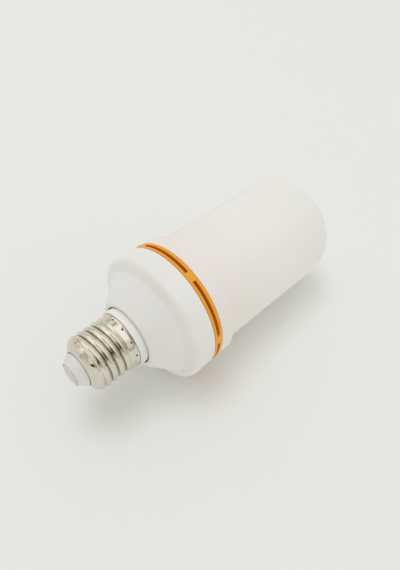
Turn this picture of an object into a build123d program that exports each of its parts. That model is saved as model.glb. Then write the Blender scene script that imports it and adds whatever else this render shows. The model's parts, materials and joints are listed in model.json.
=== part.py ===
"""Screw-base flame effect LED bulb.

Z runs along the bulb's axis with the cap up. The bulb stands on its head: the flat middle of the
diffuser's end lies on z = 0, and the cap's centre contact is the highest point. All sizes are in mm.
"""

import os
from math import cos, radians, sin, sqrt

from build123d import *

os.makedirs("parts", exist_ok=True)

# Lengths along the axis, from the head up to the cap
drum_length = 83.8
skirt_length = 8.9
ring_height = 4.8
housing_height = 23.6
sleeve_shown = 3.6
cap_height = 27.0

z_skirt = drum_length
z_ring = z_skirt + skirt_length
z_housing = z_ring + ring_height
z_neck = z_housing + housing_height
z_rim = z_neck + sleeve_shown
z_contact = z_rim + cap_height

# Clearances
spigot_gap = 0.3
wrap_gap = 0.1
seat_gap = 0.05
hole_gap = 0.2

# Ring with long slots: its radius leads the diffuser, the housing and the lamp core
ring_radius = 31.5
ring_wall = 3.9
ring_edge = 0.3
spigot_length = 3.5
slot_count = 6
slot_height = 1.6
slot_sweep = 51.2
first_slot_angle = 43.8
ring_bore = ring_radius - ring_wall

# Frosted diffuser: a tapered drum inside a slightly wider skirt
skirt_inset = 0.2
drum_inset = 2.5
drum_taper = 0.6
head_corner = 16.1
shoulder_rise = 1.2
shoulder_corner = 2.4
diffuser_wall = 1.5
skirt_radius = ring_radius - skirt_inset
drum_base_radius = skirt_radius - drum_inset
drum_end_radius = drum_base_radius - drum_taper

# Screw shell: standard 27 mm lamp cap thread, measured from its plain band
cap_band_radius = 13.2
cap_band_height = 3.9
band_cone = 1.2
rim_flare = 0.4
rim_height = 0.9
thread_depth = 1.07
thread_pitch = 3.63
thread_lift = 3.0
crest_height = 1.0
ridge_width = 3.4
thread_fade = 1.2
shell_wall = 0.45
shell_end_depth = 4.8
shoulder_swell = 0.8
shoulder_height = 1.5
cone_depth = 3.4
cone_inset = 3.53
cone_bulge = 0.3
dimple_count = 12
dimple_radius = 1.2
dimple_depth = 0.3
dimple_height = 1.1
first_dimple_angle = 14.3
rim_radius = cap_band_radius + rim_flare
root_radius = cap_band_radius - thread_depth
shoulder_radius = root_radius + shoulder_swell
shell_end_radius = root_radius - cone_inset

# Insulator and centre contact
contact_inset = 2.8
contact_thickness = 0.9
contact_edge = 0.3
contact_groove = 0.2
shank_radius = 1.4
shank_proud = 0.3
insulator_inset = 0.8
insulator_flange_lap = 0.6
insulator_flange_thickness = 1.6
insulator_edge = 0.4
insulator_neck_radius = shell_end_radius - insulator_inset
insulator_flange_radius = shell_end_radius + insulator_flange_lap
contact_radius = insulator_neck_radius - contact_inset - contact_groove

# White sleeve that carries the cap
sleeve_step = 0.4
sleeve_wall = 1.6
sleeve_slot_gap = 0.6
sleeve_seat_depth = 6.1
spigot_wall = 1.3
guide_thickness = 1.2
guide_reach = 4.0
spigot_rise = cap_band_height - spigot_gap
sleeve_radius = rim_radius + sleeve_step
sleeve_bore = sleeve_radius - sleeve_wall

# Housing
housing_wall = 1.7
housing_step = 0.1
band_height = 10.5
band_swell = 0.4
step_height = 2.3
step_depth = 5.4
band_corner = 3.0
step_corner = 2.5
neck_thickness = 1.6
neck_lip = 0.6
neck_wall = 1.5
seat_thickness = 2.0
seat_lip = 1.6
rib_count = 8
rib_thickness = 1.2
housing_base_radius = ring_radius + housing_step
band_radius = housing_base_radius + band_swell
neck_bore = sleeve_radius + sleeve_slot_gap
neck_radius = neck_bore + neck_thickness

# Mounting plate and its screws
plate_thickness = 1.2
screw_count = 3
screw_inset = 3.1
screw_radius = 1.0
screw_length = 6.0
screw_head_radius = 2.3
screw_head_height = 1.5
first_screw_angle = 30.0
post_radius = 2.4
vent_hole_count = 12
vent_hole_share = 0.55
vent_hole_inset = 7.5
first_vent_angle = 15.0
screw_circle = ring_bore - screw_inset

# Lamp core: former, rolled board, LEDs
core_gap = 9.6
former_wall = 1.5
former_flange_lap = 3.3
former_flange_thickness = 1.5
former_end_z = 14.0
led_board_thickness = 0.25
led_board_margin = 1.5
led_board_drop = 13.0
led_board_seam = 6.0
tail_width = 10.0
tail_length = 9.0
led_rows = 8
led_columns = 12
led_first_shift = 0.3
led_stagger = 0.4
led_width = 2.8
led_length = 3.5
led_thickness = 0.8
end_board_thickness = 1.0
end_led_count = 6
end_led_inset = 7.0
former_radius = ring_bore - core_gap
former_flange_radius = former_radius + former_flange_lap
vent_hole_circle = former_radius - vent_hole_inset
vent_hole_radius = vent_hole_share * vent_hole_circle * sin(radians(180 / vent_hole_count))
end_led_circle = former_radius - end_led_inset

# Driver board
board_thickness = 1.6
board_offset = -2.0
board_shoulder = 9.0
board_base_gap = 1.8
board_edge_gap = 2.4

# Leads
lead_radius = 0.6
lead_spacing = 3.0
lead_bend = 1.6
live_drop = 4.0
live_bend = 1.1
neutral_inset = 2.0
neutral_fold = 1.5
neutral_cross = 2.5
neutral_tail = 2.5
neutral_solder = 3.0
supply_fold = 2.5
supply_solder = 8.0

z_plate = z_housing + spigot_length
z_plate_top = z_plate + plate_thickness
z_seat = z_neck - sleeve_seat_depth
z_shell_end = z_contact - shell_end_depth
z_flange_top = z_shell_end - shell_wall - hole_gap
z_flange_low = z_flange_top - 2 * insulator_flange_thickness
z_shank_end = z_flange_low - shank_proud
z_board_top = z_shank_end - live_drop
led_board_top = z_plate - led_board_drop
board_front = board_offset + board_thickness / 2
board_back = board_offset - board_thickness / 2
board_neck_width = 2 * (sleeve_bore - board_edge_gap)
board_base_width = board_neck_width + 2 * board_shoulder
board_base_height = z_seat - seat_thickness - board_base_gap - z_plate_top


def save(piece, name):
    """Label a finished piece and write it as its own STEP file."""
    piece.part.label = name
    export_step(piece.part, f"parts/{name}.step")


def half_section(points):
    """Closed polygon of (radius, z) points in the XZ plane, ready to be revolved about Z."""
    with BuildSketch(Plane.XZ) as section:
        with BuildLine():
            Polyline(points, close=True)
        make_face()
    return section.sketch


def corner_at(section, radius, z):
    """The corner nearest to a (radius, z) point of a half section that is being drawn."""
    return section.vertices().sort_by_distance((radius, z))[0]


def drum_section(inset, top):
    """Half section inside the diffuser's outline moved in by inset, from its head up to top."""
    corner_centre = (drum_end_radius - head_corner, head_corner)
    with BuildSketch(Plane.XZ) as section:
        with BuildLine():
            head = Line((0, inset), (corner_centre[0], inset))
            corner = CenterArc(corner_centre, head_corner - inset, -90, 90)
            Polyline(
                corner @ 1,
                (drum_base_radius - inset, z_skirt + inset),
                (skirt_radius - inset, z_skirt + shoulder_rise + inset),
                (skirt_radius - inset, top),
                (0, top),
                head @ 0,
            )
        make_face()
        shoulder = corner_at(section, skirt_radius - inset, z_skirt + shoulder_rise + inset)
        fillet(shoulder, shoulder_corner - inset / 2)
    return section.sketch


def tube_along(points, bends, radius):
    """Round lead along straight runs joined by tangent arcs."""
    with BuildPart() as lead:
        with BuildLine() as route:
            FilletPolyline(*points, radius=bends)
        with BuildSketch(Plane(origin=route.line @ 0, z_dir=route.line % 0)):
            Circle(radius)
        sweep(path=route.line)
    return lead


# Diffuser: a thin frosted drum, closed at the head, with a wider skirt under the ring
with BuildPart() as diffuser:
    revolve(drum_section(0, z_ring), axis=Axis.Z)
    revolve(drum_section(diffuser_wall, z_ring + 1), axis=Axis.Z, mode=Mode.SUBTRACT)
save(diffuser, "diffuser")

# Ring: a coloured band between two spigots, one inside the diffuser and one inside the housing
skirt_bore = skirt_radius - diffuser_wall
housing_bore = housing_base_radius - housing_wall
with BuildPart() as vent_ring:
    with BuildSketch(Plane.XZ):
        with BuildLine():
            Polyline(
                (ring_bore, z_ring - spigot_length),
                (skirt_bore - spigot_gap, z_ring - spigot_length),
                (skirt_bore - spigot_gap, z_ring),
                (ring_radius, z_ring),
                (ring_radius, z_housing),
                (housing_bore - spigot_gap, z_housing),
                (housing_bore - spigot_gap, z_plate),
                (ring_bore, z_plate),
                close=True,
            )
        make_face()
    revolve(axis=Axis.Z)
    rims = vent_ring.edges().filter_by(GeomType.CIRCLE).filter_by(
        lambda edge: abs(edge.radius - ring_radius) < 0.01
    )
    fillet(rims, ring_edge)
    for slot in range(slot_count):
        slot_plane = Plane.XZ.rotated((0, 0, first_slot_angle + slot * 360 / slot_count))
        with BuildSketch(slot_plane):
            with Locations(((ring_bore + ring_radius) / 2, z_ring + ring_height / 2)):
                Rectangle(ring_radius - ring_bore + 2, slot_height)
        revolve(axis=Axis.Z, revolution_arc=slot_sweep, mode=Mode.SUBTRACT)
save(vent_ring, "vent_ring")

# Housing: rim band, stepped shoulder, straight cone and neck, with the sleeve's seat inside the neck
z_band_top = z_housing + band_height
z_step_top = z_band_top + step_height
cone_base_radius = band_radius - step_depth
neck_tube_radius = neck_bore + neck_wall
wall_slant = housing_wall * 0.7
with BuildPart() as housing_cavity:
    revolve(
        half_section(
            [
                (0, z_housing - 1),
                (housing_bore, z_housing - 1),
                (housing_bore, z_housing),
                (band_radius - housing_wall, z_band_top - wall_slant),
                (cone_base_radius - wall_slant, z_step_top - wall_slant),
                (neck_tube_radius, z_neck - housing_wall),
                (neck_tube_radius, z_seat - seat_thickness),
                (0, z_seat - seat_thickness),
            ]
        ),
        axis=Axis.Z,
    )
    with BuildSketch(Plane.XY.offset(z_plate_top)):
        with PolarLocations(screw_circle, screw_count, start_angle=first_screw_angle):
            Circle(post_radius)
    extrude(amount=z_step_top - z_plate_top, mode=Mode.SUBTRACT)
    with BuildSketch(Plane.XY.offset(z_seat - seat_thickness)):
        with PolarLocations((neck_radius + cone_base_radius) / 2, rib_count):
            Rectangle(cone_base_radius - neck_radius + neck_wall, rib_thickness)
    extrude(amount=sleeve_seat_depth + seat_thickness, mode=Mode.SUBTRACT)
with BuildPart() as housing:
    with BuildSketch(Plane.XZ) as housing_outline:
        with BuildLine():
            Polyline(
                (0, z_housing),
                (housing_base_radius, z_housing),
                (band_radius, z_band_top),
                (cone_base_radius, z_step_top),
                (neck_radius + neck_lip, z_neck - neck_lip),
                (neck_radius, z_neck),
                (0, z_neck),
                close=True,
            )
        make_face()
        fillet(corner_at(housing_outline, band_radius, z_band_top), band_corner)
        fillet(corner_at(housing_outline, cone_base_radius, z_step_top), step_corner)
    revolve(axis=Axis.Z)
    add(housing_cavity.part, mode=Mode.SUBTRACT)
    with BuildSketch(Plane.XY.offset(z_seat)):
        Circle(neck_bore)
    extrude(amount=z_neck - z_seat, mode=Mode.SUBTRACT)
    with BuildSketch(Plane.XY.offset(z_seat - seat_thickness)):
        Circle(neck_bore - seat_lip)
    extrude(amount=seat_thickness, mode=Mode.SUBTRACT)
    with BuildSketch(Plane.XY.offset(z_plate_top)):
        with PolarLocations(screw_circle, screw_count, start_angle=first_screw_angle):
            Circle(screw_radius + wrap_gap)
    extrude(amount=screw_length, mode=Mode.SUBTRACT)
save(housing, "housing")

# Sleeve: stands on the seat in the neck, clear of the neck's bore, and carries the screw shell
band_bore = cap_band_radius - shell_wall
spigot_radius = band_bore - spigot_gap
guide_shift = (board_thickness + guide_thickness) / 2 + wrap_gap
with BuildPart() as neck_sleeve:
    revolve(
        half_section(
            [
                (sleeve_bore, z_seat),
                (sleeve_radius, z_seat),
                (sleeve_radius, z_rim),
                (spigot_radius, z_rim),
                (spigot_radius, z_rim + spigot_rise),
                (spigot_radius - spigot_wall, z_rim + spigot_rise),
                (spigot_radius - spigot_wall, z_rim - sleeve_wall),
                (sleeve_bore, z_rim - sleeve_wall),
            ]
        ),
        axis=Axis.Z,
    )
    guide_x = sleeve_bore + sleeve_wall / 2 - guide_reach / 2
    with BuildSketch(Plane.XY.offset(z_seat)):
        with Locations(
            (guide_x, board_offset + guide_shift),
            (guide_x, board_offset - guide_shift),
            (-guide_x, board_offset + guide_shift),
            (-guide_x, board_offset - guide_shift),
        ):
            Rectangle(guide_reach, guide_thickness)
    extrude(amount=z_rim - sleeve_wall - z_seat)
save(neck_sleeve, "neck_sleeve")

# Screw shell: thin sheet with a plain band, a flared rim, a shoulder and a thread rolled through the wall
z_cone_low = z_shell_end - cone_depth
z_shoulder_low = z_cone_low - shoulder_height
z_band_edge = z_rim + cap_band_height
z_root_low = z_band_edge + band_cone


def shell_section(inset, end_z, rim_z):
    """Half section inside the shell's outline without its thread, moved in by inset."""
    with BuildSketch(Plane.XZ) as section:
        with BuildLine():
            cone = SagittaArc(
                (shoulder_radius - inset, z_cone_low),
                (shell_end_radius - inset / 2, z_shell_end - inset),
                -cone_bulge,
            )
            end_hole = [(shell_end_radius - inset / 2, end_z)] if inset else []
            Polyline(
                cone @ 1,
                *end_hole,
                (0, end_z),
                (0, rim_z),
                (rim_radius - inset, rim_z),
                (cap_band_radius - inset, z_rim + rim_height),
                (cap_band_radius - inset, z_band_edge),
                (root_radius - inset, z_root_low),
                (root_radius - inset, z_shoulder_low),
                cone @ 0,
            )
        make_face()
    return section.sketch


def rolled_ridge(inset):
    """Right-hand knuckle ridge, moved in by inset, that fades out at the band and below the cone."""
    ridge_radius = root_radius - inset
    z_ridge_low = z_rim + thread_lift
    with BuildPart() as ridge:
        with BuildLine() as thread_route:
            Helix(thread_pitch, z_cone_low - z_ridge_low, ridge_radius, center=(0, 0, z_ridge_low))
        start = thread_route.line
        with BuildSketch(Plane(origin=start @ 0, x_dir=(1, 0, 0), z_dir=start % 0)) as ridge_section:
            with BuildLine():
                knuckle = Spline(
                    (0, -ridge_width / 2),
                    (crest_height, 0),
                    (0, ridge_width / 2),
                    tangents=[(0, 1), (0, 1), (0, 1)],
                )
                Polyline(
                    knuckle @ 1,
                    (-shell_wall / 2, ridge_width / 2),
                    (-shell_wall / 2, -ridge_width / 2),
                    knuckle @ 0,
                )
            make_face()
        sweep(ridge_section.sketch, path=start, is_frenet=True)
        fade_radius = ridge_radius + crest_height + wrap_gap
        fade_section = half_section(
            [
                (0, z_root_low - band_cone / 2),
                (fade_radius - thread_depth / 2, z_root_low - band_cone / 2),
                (fade_radius, z_root_low),
                (fade_radius, z_cone_low - thread_fade),
                (ridge_radius + shoulder_swell - seat_gap, z_cone_low),
                (0, z_cone_low),
            ]
        )
        revolve(fade_section, axis=Axis.Z, mode=Mode.INTERSECT)
    return ridge


with BuildPart() as screw_shell:
    revolve(shell_section(0, z_shell_end, z_rim), axis=Axis.Z)
    add(rolled_ridge(0).part)
    revolve(shell_section(shell_wall, z_shell_end + 1, z_rim - 1), axis=Axis.Z, mode=Mode.SUBTRACT)
    add(rolled_ridge(shell_wall).part, mode=Mode.SUBTRACT)
    dimple_centre = cap_band_radius + dimple_radius - dimple_depth
    with Locations(Plane.XY.offset(z_rim + dimple_height)):
        with PolarLocations(dimple_centre, dimple_count, start_angle=first_dimple_angle):
            Sphere(dimple_radius, mode=Mode.SUBTRACT)
save(screw_shell, "screw_shell")

# Insulator: a white cone outside the shell, a neck through its end hole and a flange behind it
z_insulator_top = z_contact - contact_thickness + insulator_edge
shell_end_hole = shell_end_radius - shell_wall / 2
insulator_neck = min(insulator_neck_radius, shell_end_hole - wrap_gap)
with BuildPart() as cap_insulator:
    revolve(
        half_section(
            [
                (shank_radius + wrap_gap, z_contact - contact_thickness),
                (contact_radius + contact_groove, z_contact - contact_thickness),
                (contact_radius + contact_groove, z_insulator_top),
                (contact_radius + contact_groove + insulator_edge, z_insulator_top),
                (insulator_neck_radius + insulator_edge, z_shell_end + seat_gap),
                (insulator_neck, z_shell_end + seat_gap),
                (insulator_neck, z_flange_top - insulator_flange_thickness / 2),
                (insulator_flange_radius, z_flange_top - insulator_flange_thickness),
                (insulator_flange_radius, z_flange_low),
                (shank_radius + wrap_gap, z_flange_low),
            ]
        ),
        axis=Axis.Z,
    )
save(cap_insulator, "cap_insulator")

# Centre contact: a disc with a rounded rim, riveted through the insulator
with BuildPart() as centre_contact:
    with BuildSketch(Plane.XY.offset(z_contact - contact_thickness)):
        Circle(contact_radius)
    extrude(amount=contact_thickness)
    fillet(centre_contact.edges().group_by(Axis.Z)[-1], contact_edge)
    with BuildSketch(Plane.XY.offset(z_contact - contact_thickness)):
        Circle(shank_radius)
    extrude(amount=z_shank_end - z_contact + contact_thickness)
save(centre_contact, "centre_contact")

# Mounting plate: lies on the ring's upper spigot, below the housing's screw posts
plate_radius = housing_bore - spigot_gap
lead_hole_y = -(former_radius + led_board_thickness + wrap_gap + lead_radius + seat_gap)
with BuildPart() as mounting_plate:
    with BuildSketch(Plane.XY.offset(z_plate)):
        Circle(plate_radius)
        with PolarLocations(screw_circle, screw_count, start_angle=first_screw_angle):
            Circle(screw_radius + hole_gap, mode=Mode.SUBTRACT)
        with PolarLocations(vent_hole_circle, vent_hole_count, start_angle=first_vent_angle):
            Circle(vent_hole_radius, mode=Mode.SUBTRACT)
        with Locations((-lead_spacing, lead_hole_y), (lead_spacing, lead_hole_y)):
            Circle(lead_radius + hole_gap, mode=Mode.SUBTRACT)
    extrude(amount=plate_thickness)
save(mounting_plate, "mounting_plate")

# Screws: from below, through the plate into the housing's posts
with BuildPart() as plate_screws:
    with BuildSketch(Plane.XY.offset(z_plate)):
        with PolarLocations(screw_circle, screw_count, start_angle=first_screw_angle):
            Circle(screw_head_radius)
    extrude(amount=-screw_head_height)
    fillet(plate_screws.edges().group_by(Axis.Z)[0], screw_head_height / 2)
    with BuildSketch(Plane.XY.offset(z_plate - screw_head_height)):
        with PolarLocations(screw_circle, screw_count, start_angle=first_screw_angle):
            Rectangle(2 * screw_radius, screw_radius / 2)
            Rectangle(screw_radius / 2, 2 * screw_radius)
    extrude(amount=screw_head_height / 2, mode=Mode.SUBTRACT)
    with BuildSketch(Plane.XY.offset(z_plate)):
        with PolarLocations(screw_circle, screw_count, start_angle=first_screw_angle):
            Circle(screw_radius)
    extrude(amount=screw_length)
save(plate_screws, "plate_screws")

# Former: a tube with a base flange under the plate
with BuildPart() as led_former:
    with BuildSketch(Plane.XY.offset(former_end_z)):
        Circle(former_radius)
        Circle(former_radius - former_wall, mode=Mode.SUBTRACT)
    extrude(amount=z_plate - former_end_z)
    with BuildSketch(Plane.XY.offset(z_plate - former_flange_thickness)):
        Circle(former_flange_radius)
        Circle(former_radius - former_wall, mode=Mode.SUBTRACT)
        with Locations((-lead_spacing, lead_hole_y), (lead_spacing, lead_hole_y)):
            Circle(lead_radius + hole_gap, mode=Mode.SUBTRACT)
    extrude(amount=former_flange_thickness)
save(led_former, "led_former")

# Rolled LED board: wrapped round the former with an open seam at the back and a tail at the front
board_inner = former_radius + wrap_gap
board_outer = board_inner + led_board_thickness
z_led_board = former_end_z + led_board_margin
with BuildPart() as led_board:
    with BuildSketch(Plane.XZ.rotated((0, 0, 90 + led_board_seam / 2))):
        with Locations((board_inner + led_board_thickness / 2, (z_led_board + led_board_top) / 2)):
            Rectangle(led_board_thickness, led_board_top - z_led_board)
    revolve(axis=Axis.Z, revolution_arc=360 - led_board_seam)
    with BuildSketch(Plane.XY.offset(led_board_top)):
        Circle(board_outer)
        Circle(board_inner, mode=Mode.SUBTRACT)
        with Locations((0, -board_outer)):
            Rectangle(tail_width, board_outer, mode=Mode.INTERSECT)
    extrude(amount=tail_length)
save(led_board, "led_board")

# Side LEDs: staggered rows round the rolled board
row_pitch = (led_board_top - z_led_board) / led_rows
column_angle = (360 - led_board_seam) / led_columns
with BuildPart() as side_leds:
    for row in range(led_rows):
        row_z = z_led_board + (row + 0.5) * row_pitch
        for column in range(led_columns):
            shift = led_first_shift + led_stagger * (row % 2)
            angle = 90 + led_board_seam / 2 + (column + shift) * column_angle
            led_x = (board_outer + seat_gap) * cos(radians(angle))
            led_y = (board_outer + seat_gap) * sin(radians(angle))
            outward = (cos(radians(angle)), sin(radians(angle)), 0)
            with BuildSketch(Plane(origin=(led_x, led_y, row_z), x_dir=(0, 0, 1), z_dir=outward)):
                Rectangle(led_length, led_width)
            extrude(amount=led_thickness)
save(side_leds, "side_leds")

# End board: closes the former's free end and carries its own LEDs
with BuildPart() as end_board:
    with BuildSketch(Plane.XY.offset(former_end_z)):
        Circle(former_radius)
    extrude(amount=-end_board_thickness)
save(end_board, "end_board")

with BuildPart() as end_leds:
    with BuildSketch(Plane.XY.offset(former_end_z - end_board_thickness)):
        Rectangle(led_width, led_length)
        with PolarLocations(end_led_circle, end_led_count):
            Rectangle(led_width, led_length)
    extrude(amount=-led_thickness)
save(end_leds, "end_leds")

# Driver board: stands upright on the plate and runs up through the sleeve into the cap
with BuildPart() as driver_board:
    with BuildSketch(Plane.XZ.offset(-board_front)):
        with BuildLine():
            Polyline(
                (-board_base_width / 2, z_plate_top),
                (board_base_width / 2, z_plate_top),
                (board_base_width / 2, z_plate_top + board_base_height),
                (board_neck_width / 2, z_plate_top + board_base_height),
                (board_neck_width / 2, z_board_top),
                (-board_neck_width / 2, z_board_top),
                (-board_neck_width / 2, z_plate_top + board_base_height),
                (-board_base_width / 2, z_plate_top + board_base_height),
                close=True,
            )
        make_face()
    extrude(amount=board_thickness)
save(driver_board, "driver_board")

# Parts on the front of the board, which faces +Y
front_y = board_front + seat_gap
can_radius = 5.0
can_crimp = 0.4
can_lift = 1.0
fuse_radius = 1.7
fuse_length = 8.0
fuse_lift = 0.8
fuse_drop = 2.5
z_fuse = z_board_top - fuse_drop - fuse_radius
z_can = z_seat + can_lift
can_length = z_fuse - fuse_radius - fuse_lift - z_can
with BuildPart() as filter_capacitor:
    with BuildSketch(Plane.XY.offset(z_can)):
        with Locations((0, front_y + can_radius)):
            Circle(can_radius)
    extrude(amount=can_length)
    fillet(filter_capacitor.edges().filter_by(GeomType.CIRCLE), can_crimp)
    with BuildSketch(Plane.XY.offset(z_can + can_length)):
        with Locations((0, front_y + can_radius)):
            Rectangle(1.2 * can_radius, can_crimp)
            Rectangle(can_crimp, 1.2 * can_radius)
    extrude(amount=-can_crimp / 2, mode=Mode.SUBTRACT)
save(filter_capacitor, "filter_capacitor")

drum_radius = 5.0
winding_radius = 4.3
drum_height = board_base_height
drum_flange = 1.2
inductor_x = 9.5
with BuildPart() as driver_inductor:
    with BuildSketch(Plane.XY.offset(z_plate_top)):
        with Locations((inductor_x, front_y + drum_radius)):
            Circle(winding_radius)
    extrude(amount=drum_height)
    for z_flange in (z_plate_top, z_plate_top + drum_height - drum_flange):
        with BuildSketch(Plane.XY.offset(z_flange)):
            with Locations((inductor_x, front_y + drum_radius)):
                Circle(drum_radius)
        extrude(amount=drum_flange)
save(driver_inductor, "driver_inductor")

film_width = 11.0
film_depth = 6.0
film_height = board_base_height - 1.0
with BuildPart() as film_capacitor:
    with BuildSketch(Plane.XY.offset(z_plate_top)):
        with Locations((-inductor_x, front_y + film_depth / 2)):
            RectangleRounded(film_width, film_depth, film_depth / 4)
    extrude(amount=film_height)
    fillet(film_capacitor.edges().group_by(Axis.Z)[-1], film_depth / 8)
save(film_capacitor, "film_capacitor")

with BuildPart() as fuse_resistor:
    fuse_origin = (-fuse_length / 2, front_y + fuse_radius, z_fuse)
    with BuildSketch(Plane(origin=fuse_origin, z_dir=(1, 0, 0))):
        Circle(fuse_radius)
    extrude(amount=fuse_length)
    fillet(fuse_resistor.edges().filter_by(GeomType.CIRCLE), fuse_radius / 2)
save(fuse_resistor, "fuse_resistor")


# Parts on the back of the board, which faces -Y
def chip_package(x, z, width, height, depth, leg_count):
    """Flat package against the board's back, with legs along its two upright sides."""
    leg_width = 0.4
    leg_reach = 0.9
    leg_pitch = height / (leg_count + 1)
    with BuildPart() as package:
        with BuildSketch(Plane.XZ.offset(-board_back + seat_gap)):
            with Locations((x, z)):
                Rectangle(width, height)
        extrude(amount=depth)
        chamfer(package.edges().group_by(Axis.Y)[0], depth / 8)
        with BuildSketch(Plane.XZ.offset(-board_back + seat_gap)):
            with Locations((x, z)):
                with GridLocations(0, leg_pitch, 1, leg_count):
                    Rectangle(width + 2 * leg_reach, leg_width)
        extrude(amount=depth / 4)
    return package


chip_width = 4.0
chip_height = 5.0
chip_depth = 1.6
chip_legs = 4
bridge_height = 4.8
bridge_depth = 2.4
bridge_legs = 2
bridge_drop = 8.0
controller_x = -8.0
bridge_z = z_board_top - bridge_drop
bridge_rectifier = chip_package(0, bridge_z, chip_width, bridge_height, bridge_depth, bridge_legs)
save(bridge_rectifier, "bridge_rectifier")
driver_chip = chip_package(0, z_seat + chip_height, chip_width, chip_height, chip_depth, chip_legs)
save(driver_chip, "driver_chip")
controller_z = z_plate_top + chip_height
flame_controller = chip_package(
    controller_x, controller_z, chip_width, chip_height, chip_depth, chip_legs
)
save(flame_controller, "flame_controller")

tilt_width = 5.0
tilt_depth = 4.5
tilt_height = 6.0
tilt_x = 10.0
with BuildPart() as tilt_sensor:
    with BuildSketch(Plane.XY.offset(z_plate_top)):
        with Locations((tilt_x, board_back - seat_gap - tilt_depth / 2)):
            RectangleRounded(tilt_width, tilt_depth, tilt_depth / 8)
    extrude(amount=tilt_height)
    fillet(tilt_sensor.edges().group_by(Axis.Z)[-1], tilt_depth / 10)
save(tilt_sensor, "tilt_sensor")

# Leads: contact to board, shell to board, and two from the board down to the LED board's tail
lead_step = live_drop / 4
live_lead = tube_along(
    [
        (0, 0, z_shank_end),
        (0, 0, z_shank_end - lead_step),
        (0, board_offset, z_board_top + lead_step),
        (0, board_offset, z_board_top),
    ],
    [live_bend, live_bend],
    lead_radius,
)
save(live_lead, "live_lead")

shell_bore = root_radius - shell_wall
neutral_x = board_neck_width / 2 - neutral_inset
neutral_y = front_y + lead_radius
neutral_end_x = sqrt((shell_bore - lead_radius - hole_gap) ** 2 - neutral_y**2)
z_neutral = z_rim + spigot_rise
neutral_lead = tube_along(
    [
        (neutral_x, neutral_y, z_neutral - neutral_solder),
        (neutral_x, neutral_y, z_neutral + neutral_fold),
        (neutral_end_x, neutral_y, z_neutral + neutral_fold + neutral_cross),
        (neutral_end_x, neutral_y, z_neutral + neutral_fold + neutral_cross + neutral_tail),
    ],
    [lead_bend, lead_bend],
    lead_radius,
)
save(neutral_lead, "neutral_lead")

z_tail_join = led_board_top + tail_length / 2
for side, name in ((-1, "supply_lead_positive"), (1, "supply_lead_negative")):
    supply_lead = tube_along(
        [
            (side * lead_spacing, board_back - seat_gap - lead_radius, z_plate_top + supply_solder),
            (side * lead_spacing, board_back - seat_gap - lead_radius, z_plate_top + supply_fold),
            (side * lead_spacing, lead_hole_y, z_plate_top + supply_fold),
            (side * lead_spacing, lead_hole_y, z_tail_join),
        ],
        [lead_bend, lead_bend],
        lead_radius,
    )
    save(supply_lead, name)
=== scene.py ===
# %% [markdown]
# # A flame effect LED bulb, dressed over its CAD frame
# The bulb lies on a pale table with its screw cap towards us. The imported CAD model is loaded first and
# stays fixed. Its meshes could be shaded as they are, but they are loose triangles with coarse curves. So
# every smooth outer piece is worked out again as a numpy surface of revolution, because a turned plastic or
# rolled metal piece is exactly a profile carried round an axis. The pieces inside are hardly seen, and they
# keep their CAD meshes and only get a finish.

import json
import math

import bpy
import numpy as np
from mathutils import Matrix, Vector


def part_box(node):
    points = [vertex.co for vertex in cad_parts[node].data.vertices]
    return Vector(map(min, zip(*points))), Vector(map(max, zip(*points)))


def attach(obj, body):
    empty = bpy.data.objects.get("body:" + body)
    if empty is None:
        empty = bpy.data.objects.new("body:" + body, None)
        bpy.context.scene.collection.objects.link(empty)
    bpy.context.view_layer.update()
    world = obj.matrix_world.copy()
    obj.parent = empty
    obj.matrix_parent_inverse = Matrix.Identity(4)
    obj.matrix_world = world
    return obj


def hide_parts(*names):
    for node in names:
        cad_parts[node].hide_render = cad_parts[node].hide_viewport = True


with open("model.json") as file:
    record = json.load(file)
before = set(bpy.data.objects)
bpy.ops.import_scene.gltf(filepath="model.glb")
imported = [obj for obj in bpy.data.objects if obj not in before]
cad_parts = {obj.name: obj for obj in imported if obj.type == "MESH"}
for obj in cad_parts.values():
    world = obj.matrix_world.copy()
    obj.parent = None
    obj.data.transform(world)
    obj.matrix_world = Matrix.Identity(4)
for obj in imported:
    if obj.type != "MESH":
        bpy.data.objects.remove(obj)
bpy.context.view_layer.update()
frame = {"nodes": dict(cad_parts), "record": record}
MM = 0.001

# %% [markdown]
# ## Levels
# A bulb is a stack of pieces along one axis. Where each begins and ends could be written down as numbers,
# but measured on the CAD nodes the new surfaces always meet the frame. Only radii and small details are
# written out further on, in millimetres, each next to the piece that needs it.

# %% Levels along the axis, in mm
def low_z(node):
    """Lowest z of a CAD node, in mm."""
    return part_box(node)[0].z / MM


def high_z(node):
    """Highest z of a CAD node, in mm."""
    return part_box(node)[1].z / MM


z_ring = high_z("diffuser")
z_housing = low_z("housing")
z_neck = high_z("housing")
z_seat = low_z("neck_sleeve")
z_rim = low_z("screw_shell")
z_shell_end = high_z("screw_shell")
z_contact = high_z("centre_contact")
z_plate = low_z("mounting_plate")
print("ring", round(z_ring, 2), "to", round(z_housing, 2), "and neck", round(z_neck, 2))
print("rim", round(z_rim, 2), "shell end", round(z_shell_end, 2), "contact", round(z_contact, 2))

# %% [markdown]
# ## Turned pieces
# A turned piece is a closed outline of (radius, height) points carried round Z. Blender's Screw modifier
# could carry it, but a grid of our own lets the thread and the crimp marks move the surface, and closes the
# seam and the poles. Real mouldings have no knife edges, so each corner of the outline can carry a radius
# and is replaced by a tangent arc. The faces are joined in the order that makes them point outwards.

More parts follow.
